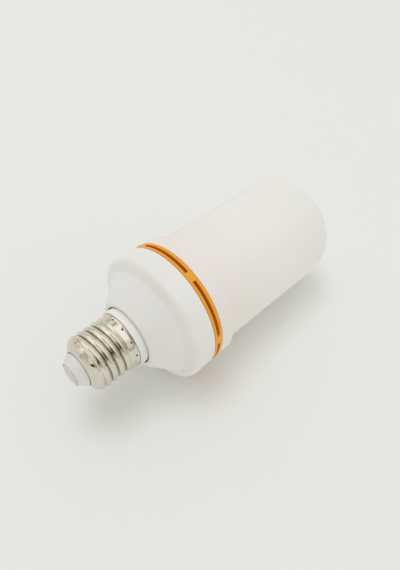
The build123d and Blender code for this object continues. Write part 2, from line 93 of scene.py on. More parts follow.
# %% Rounded outlines
def rounded(corners, steps=6):
    """Outline through (radius, height, corner radius) points, closed.

    A corner radius R becomes the arc that touches both sides: it starts R / tan(half the corner's angle)
    from the corner, and its centre is R / sin(half the angle) along the bisector.
    """
    points = np.array([corner[:2] for corner in corners], float)
    outline = []
    for index, corner in enumerate(corners):
        here = points[index]
        radius = corner[2] if len(corner) > 2 else 0.0
        if radius <= 0:
            outline.append(here[None])
            continue
        back = points[index - 1] - here
        ahead = points[(index + 1) % len(corners)] - here
        back /= np.linalg.norm(back)
        ahead /= np.linalg.norm(ahead)
        half = math.acos(np.clip(back @ ahead, -1, 1)) / 2
        bisector = (back + ahead) / np.linalg.norm(back + ahead)
        centre = here + bisector * radius / math.sin(half)
        start = here + back * radius / math.tan(half) - centre
        end = here + ahead * radius / math.tan(half) - centre
        first = math.atan2(start[1], start[0])
        turn = (math.atan2(end[1], end[0]) - first + math.pi) % (2 * math.pi) - math.pi
        angles = first + turn * np.linspace(0, 1, steps + 1)
        outline.append(centre + radius * np.column_stack([np.cos(angles), np.sin(angles)]))
    return np.vstack(outline)


def signed_area(outline):
    """Half the sum of cross products of neighbouring points: positive when the outline runs anticlockwise."""
    after = np.roll(outline, -1, axis=0)
    return 0.5 * np.sum(outline[:, 0] * after[:, 1] - after[:, 0] * outline[:, 1])


sample = rounded([(1, 0, 0.2), (2, 0, 0.2), (2, 1, 0.2), (1, 1, 0.2)])
print("a unit square with corners of 0.2 keeps this area:", round(signed_area(sample), 3))

# %% From points to a piece
def piece_from(name, points, faces, slot, node, sharp=35):
    """Puts points in mm and faces into a mesh, shades it smooth up to the sharp angle in degrees, and lets it
    stand for the CAD node on the body that never moves."""
    mesh = bpy.data.meshes.new(name)
    mesh.from_pydata((points * MM).tolist(), [], faces)
    mesh.validate()
    mesh.polygons.foreach_set("use_smooth", np.ones(len(mesh.polygons), bool))
    mesh.set_sharp_from_angle(angle=math.radians(sharp))
    piece = bpy.data.objects.new(name, mesh)
    bpy.context.scene.collection.objects.link(piece)
    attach(piece, "root")
    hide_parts(node)
    print(name, "faces:", len(mesh.polygons))
    return piece


def carried(outline, angles):
    """Radius, height and angle of every outline point at every angle, as three grids."""
    radius, turn = np.meshgrid(outline[:, 0], angles, indexing="ij")
    return radius, np.repeat(outline[:, 1][:, None], len(angles), axis=1), turn


def in_space(radius, height, turn):
    """x = r cos t, y = r sin t, z = z, as one list of points, row after row."""
    return np.stack([radius * np.cos(turn), radius * np.sin(turn), height], axis=-1).reshape(-1, 3)


one_point = np.array([(1.0, 0.0)])
print("a quarter turn carries radius 1 to:", in_space(*carried(one_point, [math.pi / 2])).round(3)[0])

# %% Turning an outline
axis_reach = 1e-6


def turned(outline, around, shape=None):
    """Points and faces of a closed outline carried round Z in that many steps.

    shape(radius, height, angle) may move the surface and gives the new radius and height arrays. Outline
    points on the axis become one vertex each, with a fan of triangles, so no pole is left open.
    """
    outline = outline if signed_area(outline) > 0 else outline[::-1]
    on_axis = outline[:, 0] < axis_reach
    radius, height, turn = carried(outline, np.linspace(0, 2 * math.pi, around, endpoint=False))
    if shape is not None:
        radius, height = shape(radius, height, turn)
    first, here = np.meshgrid(np.arange(len(outline)), np.arange(around), indexing="ij")
    second = (first + 1) % len(outline)
    there = (here + 1) % around
    corners = ((first, here), (first, there), (second, there), (second, here))
    keep = ~(on_axis[first] & on_axis[second])
    quads = np.stack([row * around + column for row, column in corners], axis=-1)[keep]
    index = np.arange(len(outline) * around).reshape(len(outline), around)
    index[on_axis] = index[on_axis, :1]
    used, packed = np.unique(index.ravel()[quads], return_inverse=True)
    faces = [list(dict.fromkeys(face)) for face in packed.reshape(quads.shape).tolist()]
    return in_space(radius, height, turn)[used], faces


def turned_piece(name, outline, around, slot, node, shape=None, sharp=35):
    """The whole way from an outline to a piece."""
    return piece_from(name, *turned(outline, around, shape), slot, node, sharp)


print("the sample turned in 8 steps has", len(turned(sample, 8)[1]), "faces")

# %% [markdown]
# ## Effects shared by the finishes
# Moulded plastic, plated metal and painted board all vary a little: in colour over centimetres, and in
# height over tenths of a millimetre. On turned pieces, places that differ, such as a seam or a thread's
# valleys, are rings: a range of radius and of height. These nodes could be laid out anew in each material,
# but as node groups they are built once and placed with each material's own values. They read Object
# coordinates, which are metres in the bulb's own frame, and put out only colours, masks and values.

# %% Nodes and empty groups
FLOAT, COLOUR = "NodeSocketFloat", "NodeSocketColor"
WHITE = (1, 1, 1, 1)


def add(tree, kind, **settings):
    """New shader node of this kind in a node tree, with these settings."""
    node = tree.nodes.new("ShaderNode" + kind)
    for name, value in settings.items():
        setattr(node, name, value)
    return node


def fill(node, **values):
    """Sets a node's sockets by their names, written with _ for a space, and gives the node back."""
    for socket, value in values.items():
        node.inputs[socket.replace("_", " ")].default_value = value
    return node


def wire(tree, *links):
    """Joins sockets, each link given as (from node, its output, to node, its input)."""
    for source, output, target, entry in links:
        tree.links.new(source.outputs[output], target.inputs[entry])


def new_group(name, inputs, outputs):
    """Empty shader group with the named float or colour sockets."""
    group = bpy.data.node_groups.new(name, "ShaderNodeTree")
    for label, kind, value in inputs:
        socket = group.interface.new_socket(label, in_out="INPUT", socket_type=kind)
        socket.default_value = value
    for label, kind in outputs:
        group.interface.new_socket(label, in_out="OUTPUT", socket_type=kind)
    print("node group:", name)
    return group, group.nodes.new("NodeGroupInput"), group.nodes.new("NodeGroupOutput")


print("helpers for node trees: add, fill, wire and new_group")


# %% Drift of tone
def tone_drift_group():
    """Color = first + (second - first) * soft noise at the given scale: a drift between two tones."""
    group, given, out = new_group(
        "tone_drift",
        [("First", COLOUR, WHITE), ("Second", COLOUR, WHITE), ("Scale", FLOAT, 40.0)],
        [("Color", COLOUR)],
    )
    place = add(group, "TexCoord")
    noise = fill(add(group, "TexNoise"), Detail=3.0)
    spread = fill(add(group, "MapRange"), From_Min=0.35, From_Max=0.65)
    mix = add(group, "Mix", data_type="RGBA")
    wire(
        group,
        (place, "Object", noise, "Vector"),
        (given, "Scale", noise, "Scale"),
        (noise, "Fac", spread, "Value"),
        (spread, "Result", mix, "Factor"),
        (given, "First", mix, "A"),
        (given, "Second", mix, "B"),
        (mix, "Result", out, "Color"),
    )
    return group


tone_drift = tone_drift_group()


# %% Grain
def fine_grain_group():
    """Height = fine noise at the given scale; Roughness = base + swing * the same noise less one half."""
    group, given, out = new_group(
        "fine_grain",
        [("Scale", FLOAT, 2500.0), ("Base", FLOAT, 0.4), ("Swing", FLOAT, 0.1)],
        [("Height", FLOAT), ("Roughness", FLOAT)],
    )
    place = add(group, "TexCoord")
    noise = fill(add(group, "TexNoise"), Detail=2.0)
    centred = add(group, "Math", operation="SUBTRACT")
    centred.inputs[1].default_value = 0.5
    swing = add(group, "Math", operation="MULTIPLY_ADD")
    wire(
        group,
        (place, "Object", noise, "Vector"),
        (given, "Scale", noise, "Scale"),
        (noise, "Fac", centred, 0),
        (centred, "Value", swing, 0),
        (given, "Swing", swing, 1),
        (given, "Base", swing, 2),
        (noise, "Fac", out, "Height"),
        (swing, "Value", out, "Roughness"),
    )
    return group


fine_grain = fine_grain_group()


# %% Rings on a turned piece
def ring_mask_group():
    """Mask = 1 where the distance from the axis, sqrt(x^2 + y^2), is under Inner, 0 beyond Outer and smooth
    between, and only for heights between Low and High. All four are metres."""
    group, given, out = new_group(
        "ring_mask",
        [("Inner", FLOAT, 0.0), ("Outer", FLOAT, 1.0), ("Low", FLOAT, 0.0), ("High", FLOAT, 1.0)],
        [("Mask", FLOAT)],
    )
    place = add(group, "TexCoord")
    split = add(group, "SeparateXYZ")
    flat = add(group, "CombineXYZ")
    distance = add(group, "VectorMath", operation="LENGTH")
    near = add(group, "MapRange", interpolation_type="SMOOTHSTEP")
    above = add(group, "Math", operation="GREATER_THAN")
    below = add(group, "Math", operation="LESS_THAN")
    both = add(group, "Math", operation="MULTIPLY")
    mask = add(group, "Math", operation="MULTIPLY")
    wire(
        group,
        (place, "Object", split, "Vector"),
        (split, "X", flat, "X"),
        (split, "Y", flat, "Y"),
        (flat, "Vector", distance, 0),
        (distance, "Value", near, "Value"),
        (given, "Outer", near, "From Min"),
        (given, "Inner", near, "From Max"),
        (split, "Z", above, 0),
        (given, "Low", above, 1),
        (split, "Z", below, 0),
        (given, "High", below, 1),
        (above, "Value", both, 0),
        (below, "Value", both, 1),
        (both, "Value", mask, 0),
        (near, "Result", mask, 1),
        (mask, "Value", out, "Mask"),
    )
    return group


ring_mask = ring_mask_group()


# %% Tint
def tint_group():
    """Color = under + (colour - under) * mask * amount."""
    group, given, out = new_group(
        "tint",
        [("Under", COLOUR, WHITE), ("Colour", COLOUR, WHITE), ("Mask", FLOAT, 1.0), ("Amount", FLOAT, 1.0)],
        [("Color", COLOUR)],
    )
    share = add(group, "Math", operation="MULTIPLY")
    mix = add(group, "Mix", data_type="RGBA")
    wire(
        group,
        (given, "Mask", share, 0),
        (given, "Amount", share, 1),
        (share, "Value", mix, "Factor"),
        (given, "Under", mix, "A"),
        (given, "Colour", mix, "B"),
        (mix, "Result", out, "Color"),
    )
    return group


tint_over = tint_group()

# %% [markdown]
# ## One way to build a finish
# Every surface here is made of one solid stuff under a thin worn skin, so one Principled shader does for
# each. A helper lays out the drift, the grain and the bump in front of it, and each finish is then one call
# with its own tones, roughness and grain. Colours are given as the screen shows them, 0 to 255, because
# that is how they are judged against the photo, and are turned into linear light.

# %% Colours, and groups placed in a material
def linear(red, green, blue):
    """Screen colour 0 to 255 as the linear light that Blender's sockets take.

    With s = value / 255, the light is s / 12.92 up to 0.04045, and ((s + 0.055) / 1.055)^2.4 above it.
    """
    screen = np.array([red, green, blue]) / 255
    light = np.where(screen <= 0.04045, screen / 12.92, ((screen + 0.055) / 1.055) ** 2.4)
    return (*light.tolist(), 1.0)


def placed(tree, group, **values):
    """A group's node in the tree, with these values on its sockets."""
    return fill(add(tree, "Group", node_tree=group), **values)


print("the photo's orange as linear light:", [round(part, 3) for part in linear(243, 168, 22)[:3]])

# %% Finish material
grain_depth = 0.2


def finish_material(name, first, second, drift, rough, grain, **fixed):
    """Principled material whose colour drifts between two tones and whose grain moves roughness and bump.

    drift is the noise scale of the tones, rough the roughness and its swing, and grain the noise scale and
    the bump strength. fixed holds what is the same all over, set on the shader's own sockets.
    """
    material = bpy.data.materials.new(name)
    material.use_nodes = True
    tree = material.node_tree
    shader = fill(tree.nodes["Principled BSDF"], **fixed)
    tone = placed(tree, tone_drift, First=first, Second=second, Scale=drift)
    surface = placed(tree, fine_grain, Scale=grain[0], Base=rough[0], Swing=rough[1])
    bump = fill(add(tree, "Bump"), Strength=grain[1], Distance=grain_depth * MM)
    wire(
        tree,
        (tone, "Color", shader, "Base Color"),
        (surface, "Roughness", shader, "Roughness"),
        (surface, "Height", bump, "Height"),
        (bump, "Normal", shader, "Normal"),
    )
    print("finish:", name)
    return material


print("the grain of a bump at full strength is", grain_depth, "mm high")


# %% Masks, tints and wearing
def rings(material, inner, outer, low, high):
    """Mask of the rings nearer the axis than inner, faded out at outer, from low to high, all in mm."""
    sizes = {"Inner": inner * MM, "Outer": outer * MM, "Low": low * MM, "High": high * MM}
    return placed(material.node_tree, ring_mask, **sizes).outputs["Mask"]


def tint(material, mask, colour, amount=1.0):
    """Lays a colour over the material's base colour by amount times the mask."""
    tree = material.node_tree
    base = tree.nodes["Principled BSDF"].inputs["Base Color"]
    over = placed(tree, tint_over, Colour=colour, Amount=amount)
    tree.links.new(base.links[0].from_socket, over.inputs["Under"])
    tree.links.new(mask, over.inputs["Mask"])
    tree.links.new(over.outputs["Color"], base)


def wear(piece, material):
    """Gives the piece this material and nothing else."""
    piece.data.materials.clear()
    piece.data.materials.append(material)


print("node groups to place:", len(bpy.data.node_groups))

# %% [markdown]
# ## The screw shell
# The cap is thin nickel-plated sheet, pressed and then rolled between a pair of thread rollers, so its
# thread is a soft wave and not a cut groove. It could be a Screw modifier on a thread profile, but then the
# ends of the thread would stop dead. Making radius a function of angle and height gives the wave, its way
# out of the plain band and into the shoulder, and the punched crimp marks, all in one sheet. The inner wall
# follows at the sheet's thickness. The wave climbs one pitch for each turn, right-handed.

# %% Shell sizes, in mm
cap_band_radius = 13.2
rim_flare = 0.4
rim_height = 0.9
lip_flare = 0.3
lip_height = 0.35
band_top = z_rim + 3.9
root_start = band_top + 1.2
root_radius = 12.13
shell_wall = 0.45
sheet_bend = 0.8
shoulder_radius = root_radius + 0.8
shoulder_height = 1.5
shoulder_bend = 0.5
cone_low = z_shell_end - 3.4
cone_bulge = 0.3
cone_bend = 18.0
shell_end_radius = 8.6
print("shell height:", round(z_shell_end - z_rim, 2))


# %% Plain wall of the shell
def smooth_step(value, low, high):
    """0 below low, 1 above high, and 3t^2 - 2t^3 between."""
    t = np.clip((value - low) / (high - low), 0, 1)
    return t * t * (3 - 2 * t)


def plain_wall(rows=180):
    """The shell's outer line without its thread, from rim to end hole, in evenly spaced rows.

    The cone bulges: its middle point stands off the straight line by cone_bulge, square to it.
    """
    cone_run, cone_drop = z_shell_end - cone_low, shoulder_radius - shell_end_radius
    slope = math.hypot(cone_run, cone_drop)
    middle_radius = (shoulder_radius + shell_end_radius) / 2 + cone_bulge * cone_run / slope
    middle_height = (cone_low + z_shell_end) / 2 + cone_bulge * cone_drop / slope
    line = rounded(
        [
            (cap_band_radius + rim_flare, z_rim),
            (cap_band_radius + lip_flare, z_rim + lip_height, lip_flare),
            (cap_band_radius, z_rim + rim_height, sheet_bend),
            (cap_band_radius, band_top, sheet_bend),
            (root_radius, root_start, sheet_bend),
            (root_radius, cone_low - shoulder_height, sheet_bend),
            (shoulder_radius, cone_low, shoulder_bend),
            (middle_radius, middle_height, cone_bend),
            (shell_end_radius, z_shell_end),
        ]
    )
    length = np.concatenate([[0], np.cumsum(np.linalg.norm(np.diff(line, axis=0), axis=1))])
    even = np.linspace(0, length[-1], rows)
    return np.column_stack([np.interp(even, length, line[:, 0]), np.interp(even, length, line[:, 1])])


outer_wall = plain_wall()
print("rows of the plain wall:", len(outer_wall))

# %% Thread and crimp marks, in mm
crest_height = 1.0
thread_pitch = 3.63
thread_phase = z_rim + 3.0
thread_start = band_top - 0.3
thread_full = band_top + 0.7
thread_fade = 1.1
valley_sharpness = 0.72
joint_blend = 0.08
dimple_count = 12
dimple_angle = math.radians(14.3)
dimple_z = z_rim + 1.15
dimple_depth = 0.6
dimple_width = 0.52
dimple_height = 0.44


def rolled(radius, height, angle):
    """Raises the thread wave out of the shell's plain wall and presses the crimp marks in.

    wave = ((1 + cos(2 pi ((z - phase) / pitch - angle / one turn))) / 2) ^ sharpness: broad crests and
    narrow valleys. The surface is the larger of wall and thread, rounded where they cross:
    (a + b + sqrt((a - b)^2 + blend^2)) / 2. A crimp mark pulls the sheet in by a bell curve.
    """
    turns = (height - thread_phase) / thread_pitch - angle / (2 * math.pi)
    wave = (0.5 + 0.5 * np.cos(2 * math.pi * turns)) ** valley_sharpness
    wave = wave * smooth_step(height, thread_start, thread_full)
    wave = crest_height * wave * (1 - smooth_step(height, cone_low - thread_fade, cone_low))
    wall = np.interp(height, outer_wall[:, 1], outer_wall[:, 0]) - root_radius
    joined = 0.5 * (wall + wave + np.sqrt((wall - wave) ** 2 + joint_blend**2))
    lift = np.where(height < cone_low, joined - wall, 0.0)
    step = 2 * math.pi / dimple_count
    across = ((angle - dimple_angle + step / 2) % step - step / 2) * cap_band_radius / dimple_width
    along = (height - dimple_z) / dimple_height
    return radius + lift - dimple_depth * np.exp(-(across**2) - along**2), height


print("turns of thread:", round((cone_low - band_top) / thread_pitch, 1))

# %% Shell surface
inner_sink = 0.3
inner_wall = outer_wall[::-2].copy()
inner_wall[:, 1] -= inner_sink * smooth_step(inner_wall[:, 1], cone_low - 0.6, cone_low + 1)
inner_wall[:, 0] -= shell_wall
end_edge = np.array([[shell_end_radius - 0.12, z_shell_end], [shell_end_radius - 0.4, z_shell_end - 0.1]])
shell_outline = np.vstack([outer_wall, end_edge, inner_wall])
screw_shell = turned_piece(
    "nickel_screw_shell", shell_outline, around=320, slot="nickel_plate", node="screw_shell",
    shape=rolled, sharp=50,
)

# %% [markdown]
# ## Contact and insulator
# A pale insulating cone closes the shell's end, and the centre contact is a pressed disc riveted into a
# shallow recess in it. One mesh with a drawn line could stand for both, but two turned pieces with a real
# gap give the thin dark line round the disc from every side.

# %% Insulator, in mm
rivet_hole = 1.5
recess_radius = 5.0
recess_edge = 0.45
recess_floor = z_contact - 0.9
insulator_top = z_contact - 0.5
insulator_neck = 7.8
insulator_foot = insulator_neck + 0.4
z_insulator_foot = z_shell_end + 0.05
flange_radius = 9.2
flange_corner = 0.3
insulator_low = low_z("cap_insulator")
insulator = turned_piece(
    "white_insulator",
    rounded(
        [
            (rivet_hole, recess_floor),
            (recess_radius, recess_floor),
            (recess_radius, insulator_top, 0.12),
            (recess_radius + recess_edge, insulator_top, 0.3),
            (insulator_foot, z_insulator_foot, 0.25),
            (insulator_neck, z_insulator_foot),
            (insulator_neck, z_shell_end - 1.4),
            (flange_radius, z_shell_end - 2.2, flange_corner),
            (flange_radius, insulator_low, 0.2),
            (rivet_hole, insulator_low),
        ]
    ),
    around=160,
    slot="insulator_white",
    node="cap_insulator",
)

# %% Contact, in mm
contact_radius = 4.8
contact_flat = contact_radius - 1.2
contact_crown = 2.0
contact_back = z_contact - 0.85
shank_radius = 1.4
shank_low = low_z("centre_contact")
contact = turned_piece(
    "centre_contact_disc",
    rounded(
        [
            (0, z_contact),
            (contact_flat, z_contact, contact_crown),
            (contact_radius, z_contact - 0.3, 0.25),
            (contact_radius, contact_back),
            (shank_radius, contact_back),
            (shank_radius, shank_low),
            (0, shank_low),
        ]
    ),
    around=128,
    slot="contact_metal",
    node="centre_contact",
)

# %% [markdown]
# ## Sleeve and housing
# The cap is crimped onto a white sleeve that drops into the housing's neck with a narrow gap round it. The
# gap could be painted on one shared surface, but a real one is deep, and so it reads as a dark line just
# where the eye looks straight into it. Further down, the gap's walls also get painted shade. The housing is
# one moulding: a straight cone, a rounded step and a broad rim band. Both are hollow, as moulded pieces are.

# %% Sleeve, in mm
sleeve_radius = 14.0
sleeve_bore = 12.4
sleeve_top = z_rim - 0.05
groove_floor = z_rim - 0.5
groove_slant = 0.1
spigot_radius = 12.45
spigot_bore = 11.15
spigot_top = z_rim + 3.6
spigot_corner = 0.2
spigot_web = z_rim - 1.6
sleeve = turned_piece(
    "white_sleeve",
    rounded(
        [
            (sleeve_bore, z_seat),
            (sleeve_radius, z_seat),
            (sleeve_radius, sleeve_top, 0.35),
            (cap_band_radius + groove_slant, sleeve_top, 0.1),
            (cap_band_radius - groove_slant, groove_floor),
            (spigot_radius, groove_floor),
            (spigot_radius, spigot_top, spigot_corner),
            (spigot_bore, spigot_top, spigot_corner),
            (spigot_bore, spigot_web),
            (sleeve_bore, spigot_web),
        ]
    ),
    around=200,
    slot="sleeve_white",
    node="neck_sleeve",
)

# %% Housing, in mm
housing_base_radius = 31.6
housing_bore = 29.9
band_radius = 32.0
band_corner = 3.0
z_band_top = z_housing + 10.5
cone_base_radius = 26.6
step_corner = 1.6
z_step_top = z_band_top + 2.3
neck_radius = 16.2
neck_bore = 14.6
neck_lip = 0.6
cavity_radius = 16.1
seat_bore = 13.0
z_seat_back = z_seat - 2.0
wall_drop = 1.2
inner_corner = 1.0
housing = turned_piece(
    "white_housing",
    rounded(
        [
            (housing_bore, z_housing),
            (housing_base_radius, z_housing, 0.25),
            (band_radius, z_band_top, band_corner),
            (cone_base_radius, z_step_top, step_corner),
            (neck_radius + neck_lip, z_neck - neck_lip, 0.5),
            (neck_radius, z_neck, 0.35),
            (neck_bore, z_neck, 0.12),
            (neck_bore, z_seat),
            (seat_bore, z_seat),
            (seat_bore, z_seat_back),
            (cavity_radius, z_seat_back),
            (cavity_radius, z_neck - 1.7),
            (cone_base_radius - wall_drop, z_step_top - wall_drop, inner_corner),
            (band_radius - 1.7, z_band_top - wall_drop, inner_corner),
        ],
        steps=10,
    ),
    around=320,
    slot="housing_white",
    node="housing",
)

# %% [markdown]
# ## The orange ring
# The ring between housing and diffuser is moulded in coloured plastic with six long slots that let warm
# air out. The slots could be cut with Boolean modifiers, which leave ragged faces on a curved wall. Here it
# is a turned section with windows left out of its two walls: the grid's columns fall exactly on the slots'
# ends, and short walls join the outer and inner faces round each window.

# %% Ring sizes, in mm
ring_radius = 31.5
ring_bore = 27.6
ring_edge = 0.3
low_spigot_radius = 29.5
high_spigot_radius = 29.6
z_low_spigot = z_ring - 3.5
slot_height = 1.6
slot_low = (z_ring + z_housing) / 2 - slot_height / 2
slot_high = slot_low + slot_height
slot_sweep = math.radians(51.2)
first_slot = math.radians(43.8)
slot_count = 6
slot_pitch = 2 * math.pi / slot_count
slot_columns = 44
bridge_columns = 8
ring_outline = rounded(
    [
        (ring_bore, z_low_spigot),
        (low_spigot_radius, z_low_spigot, spigot_corner),
        (low_spigot_radius, z_ring),
        (ring_radius, z_ring, ring_edge),
        (ring_radius, slot_low),
        (ring_radius, slot_high),
        (ring_radius, z_housing, ring_edge),
        (high_spigot_radius, z_housing),
        (high_spigot_radius, z_plate, spigot_corner),
        (ring_bore, z_plate),
        (ring_bore, slot_high),
        (ring_bore, slot_low),
    ],
    steps=4,
)
print("slots from", round(slot_low, 2), "to", round(slot_high, 2))


# %% Ring with its windows
def ring_columns():
    """Angles round the ring and, for each column, whether the stretch after it lies in a slot."""
    inside = np.linspace(0, slot_sweep, slot_columns, endpoint=False)
    bridge = np.linspace(slot_sweep, slot_pitch, bridge_columns, endpoint=False)
    one = np.concatenate([inside, bridge])
    angles = (first_slot + np.arange(slot_count)[:, None] * slot_pitch + one).ravel()
    in_slot = np.tile(np.arange(len(one)) < slot_columns, slot_count)
    return angles, in_slot


def outline_row(radius, height):
    """The ring outline's row that lies nearest to this radius and height."""
    return int(np.argmin(np.abs(ring_outline[:, 0] - radius) + np.abs(ring_outline[:, 1] - height)))


def slotted_ring():
    """Points and faces of the ring: the closed outline carried round, less the quads of both walls that fall
    in a slot, plus the slots' floor, roof and end walls between the outer and the inner row."""
    angles, in_slot = ring_columns()
    columns, rows = len(angles), len(ring_outline)
    column = np.arange(columns)
    beside = (column + 1) % columns

    def quads(*corners):
        """One quad for each column in the corners, which are pairs of row and columns."""
        return np.stack([row * columns + place for row, place in corners], axis=-1)

    low_out, high_out = outline_row(ring_radius, slot_low), outline_row(ring_radius, slot_high)
    low_in, high_in = outline_row(ring_bore, slot_low), outline_row(ring_bore, slot_high)
    faces = []
    for row in range(rows):
        keep = ~in_slot if row in (low_out, high_in) else np.ones(columns, bool)
        here, there, after = column[keep], beside[keep], (row + 1) % rows
        faces.append(quads((row, here), (row, there), (after, there), (after, here)))
    here, there = column[in_slot], beside[in_slot]
    faces.append(quads((low_out, here), (low_out, there), (low_in, there), (low_in, here)))
    faces.append(quads((high_in, here), (high_in, there), (high_out, there), (high_out, here)))
    starts = column[in_slot & ~np.roll(in_slot, 1)]
    ends = beside[in_slot & ~np.roll(in_slot, -1)]
    faces.append(quads((low_out, starts), (low_in, starts), (high_in, starts), (high_out, starts)))
    faces.append(quads((low_out, ends), (high_out, ends), (high_in, ends), (low_in, ends)))
    return in_space(*carried(ring_outline, angles)), np.vstack(faces).tolist()


ring = piece_from("orange_slotted_ring", *slotted_ring(), "ring_orange", "vent_ring", sharp=40)

# %% [markdown]
# ## The frosted diffuser
# The diffuser is a thin drum that tapers slightly towards its rounded head, with a wider skirt that meets
# the ring. It could be an open sheet with a Solidify modifier, but a closed outline turned once puts every
# corner where the moulding has it. The light that enters the frosted wall can leave it on the inside too.

# %% Diffuser, in mm
diffuser_wall = 1.5
drum_end_radius = 28.2
drum_base_radius = 28.8
head_corner = 16.1
skirt_radius = 31.3
skirt_corner = 0.25
z_skirt = z_ring - 8.9
z_shoulder = z_skirt + 1.2
shoulder_corner = 2.0
foot_corner = 0.8
diffuser = turned_piece(
    "frosted_diffuser_drum",
    rounded(
        [
            (0, 0),
            (drum_end_radius, 0, head_corner),
            (drum_base_radius, z_skirt, foot_corner),
            (skirt_radius, z_shoulder, shoulder_corner),
            (skirt_radius, z_ring, skirt_corner),
            (skirt_radius - diffuser_wall, z_ring, skirt_corner),
            (skirt_radius - diffuser_wall, z_shoulder + diffuser_wall, inner_corner),
            (drum_base_radius - diffuser_wall, z_skirt + diffuser_wall, inner_corner),
            (drum_end_radius - diffuser_wall, diffuser_wall, head_corner - diffuser_wall),
            (0, diffuser_wall),
        ],
        steps=24,
    ),
    around=320,
    slot="frosted_diffuser",
    node="diffuser",
)

# %% [markdown]
# ## Finishes of the plastics
# The white mouldings are satin plastic, and the ring is the same stuff in orange, a little glossier. Paint
# under a clear coat would shine too evenly, so each is one bare plastic whose tone and grain drift. Each
# finish starts from the colour that the photo shows in an evenly lit place.

# %% White and orange plastics
housing_plastic = finish_material(
    "satin_white_plastic", linear(239, 238, 235), linear(235, 233, 229), 30.0, (0.42, 0.08), (3000.0, 0.02),
    Subsurface_Weight=0.1, Subsurface_Scale=0.002,
)
sleeve_plastic = finish_material(
    "sleeve_white_plastic", linear(240, 240, 235), linear(234, 234, 228), 60.0, (0.35, 0.08), (3000.0, 0.02)
)
insulator_plastic = finish_material(
    "insulator_white_plastic", linear(231, 229, 224), linear(223, 220, 215), 150.0, (0.5, 0.1), (2500.0, 0.04)
)
ring_plastic = finish_material(
    "orange_ring_plastic", linear(243, 168, 22), linear(235, 160, 16), 50.0, (0.38, 0.08), (2500.0, 0.02)
)
wear(housing, housing_plastic)
wear(sleeve, sleeve_plastic)
wear(insulator, insulator_plastic)
wear(ring, ring_plastic)

# %% [markdown]
# ## Painted shade at seams, slots and the gap
# Where two pieces meet, shade gathers. The light alone shows that too faintly, so rings of the piece are
# tinted with painted shade, which holds from every side. The ring's slots get a redder painted shade and
# its two edges a thin painted shadow line. The gap between sleeve and neck is so deep that almost no light
# comes back, so its walls get a dark painted shade. A tint that has to reach a piece's end goes on past
# it, so that its own border falls in the air.

# %% Painted shade on the plastics
slot_shade_orange = linear(244, 144, 42)
seam_shade_amber = linear(176, 104, 28)
gap_shade_dark = linear(36, 33, 30)
any_radius = (40, 41)
past_end = 1.0
seam_width = 0.3
slot_margin = 0.05
slot_heights = (slot_low - slot_margin, slot_high + slot_margin)
# Painted shade: the slots' walls get a redder, darker orange where shade falls inside them.
slot_shade_mask = rings(ring_plastic, ring_radius - 0.4, ring_radius - slot_margin, *slot_heights)
# Painted shadow lines darken the ring's two edges, where it meets the housing and the diffuser.
housing_seam_shade = rings(ring_plastic, *any_radius, z_housing - seam_width, z_housing + past_end)
diffuser_seam_shade = rings(ring_plastic, *any_radius, z_ring - past_end, z_ring + seam_width)
gap_heights = (z_seat - past_end, z_neck - 0.5)
# Painted shade: the sleeve's and the neck's walls deep in the gap are darkened nearly to black.
sleeve_gap_shade = rings(sleeve_plastic, *any_radius, *gap_heights)
neck_gap_shade = rings(housing_plastic, neck_bore + 0.05, neck_bore + 0.1, *gap_heights)
tint(ring_plastic, slot_shade_mask, slot_shade_orange, 0.9)
tint(ring_plastic, housing_seam_shade, seam_shade_amber, 0.8)
tint(ring_plastic, diffuser_seam_shade, seam_shade_amber, 0.8)
tint(sleeve_plastic, sleeve_gap_shade, gap_shade_dark)
tint(housing_plastic, neck_gap_shade, gap_shade_dark)
print("seams at heights", round(z_ring, 2), "and", round(z_housing, 2))

# %% [markdown]
# ## Metals of the cap
# The shell is bright nickel, warm in tone, which mirrors the room. Thin rolled sheet is never quite even,
# so its reflections wobble. Modelled dents would need far more faces, and a slow bump under the fine grain
# does the same. Painted shade darkens the thread's valleys and the crimp marks, and a painted shadow line
# runs along the rim's edge. The contact is tinned and dull, so it is only partly metallic.

# %% Nickel and tin
def dent(material, scale, depth):
    """Adds a slow unevenness to the material's fine bump: noise at that scale, up to depth in mm high."""
    tree = material.node_tree
    shader = tree.nodes["Principled BSDF"]
    grain = shader.inputs["Normal"].links[0].from_node
    place = add(tree, "TexCoord")
    noise = fill(add(tree, "TexNoise"), Scale=scale, Detail=1.0)
    bump = fill(add(tree, "Bump"), Strength=1.0, Distance=depth * MM)
    wire(
        tree,
        (place, "Object", noise, "Vector"),
        (noise, "Fac", bump, "Height"),
        (grain, "Normal", bump, "Normal"),
        (bump, "Normal", shader, "Normal"),
    )


nickel = finish_material(
    "warm_nickel_plate", linear(230, 225, 213), linear(220, 213, 199), 120.0, (0.08, 0.05), (1400.0, 0.008),
    Metallic=1.0,
)
dent(nickel, 200.0, 0.14)
contact_metal = finish_material(
    "tinned_contact", linear(224, 219, 207), linear(213, 207, 194), 400.0, (0.42, 0.15), (3000.0, 0.1),
    Metallic=0.6,
)
wear(screw_shell, nickel)
wear(contact, contact_metal)

# %% Painted shade on the nickel
# Painted shade: the thread's valleys are darkened to brown, as shade gathers there.
valley_shade_mask = rings(nickel, root_radius + 0.05, root_radius + 0.32, band_top, cone_low)
# Painted shade fills the pits of the crimp marks.
crimp_shade_mask = rings(nickel, cap_band_radius - 0.4, cap_band_radius - 0.1, z_rim + 0.2, z_rim + 2.2)
